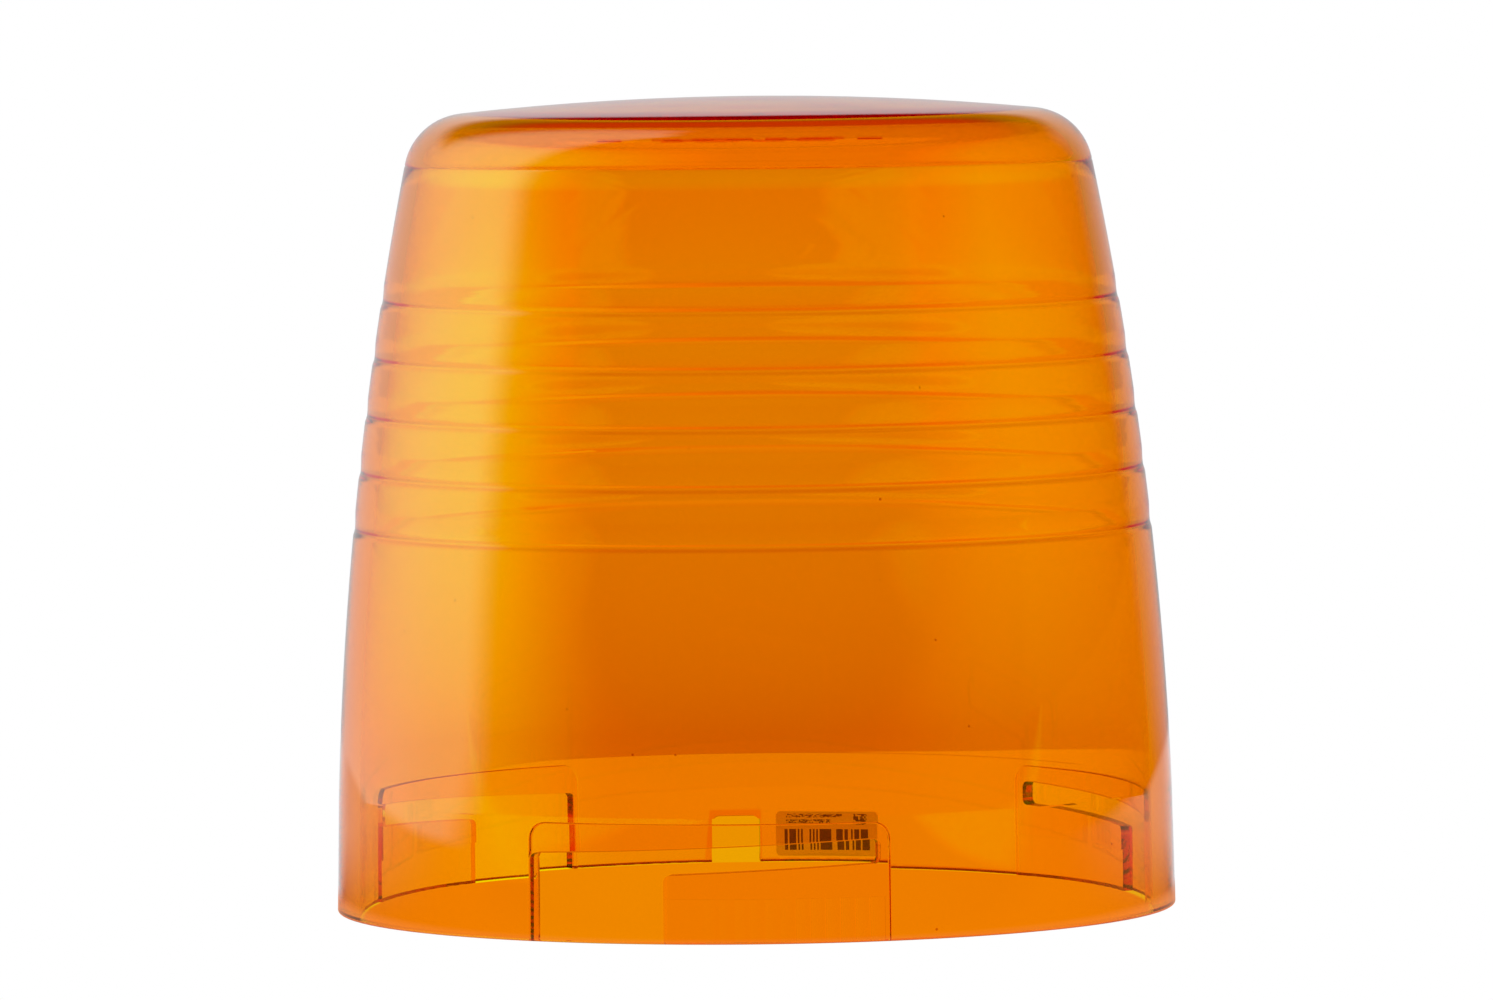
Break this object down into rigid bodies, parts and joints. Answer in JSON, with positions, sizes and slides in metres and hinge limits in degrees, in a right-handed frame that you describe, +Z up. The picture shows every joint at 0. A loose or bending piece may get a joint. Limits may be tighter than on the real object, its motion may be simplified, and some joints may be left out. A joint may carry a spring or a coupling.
{
  "type": "beacon lens",
  "caption": "Transparent amber dome of a warning beacon: a thin-walled bell with shallow grooves, a crowned top and bayonet pads inside its open rim.",
  "frame": {"origin": "on the lens's axis, in the plane of its open rim", "axes": "+Z up the axis from the open rim to the crown, -Y to the front, through the bayonet pad that has the ratchet teeth; the keying notch is at the back"},
  "size_m": [0.15, 0.15, 0.145],
  "materials": {
    "amber_polycarbonate": "clear, polished, injection moulded",
    "label_film": "thin translucent film with dark print"
  },
  "bodies": {
    "root": {"lens_dome": "amber_polycarbonate", "part_label": "label_film"}
  },
  "joints": []
}
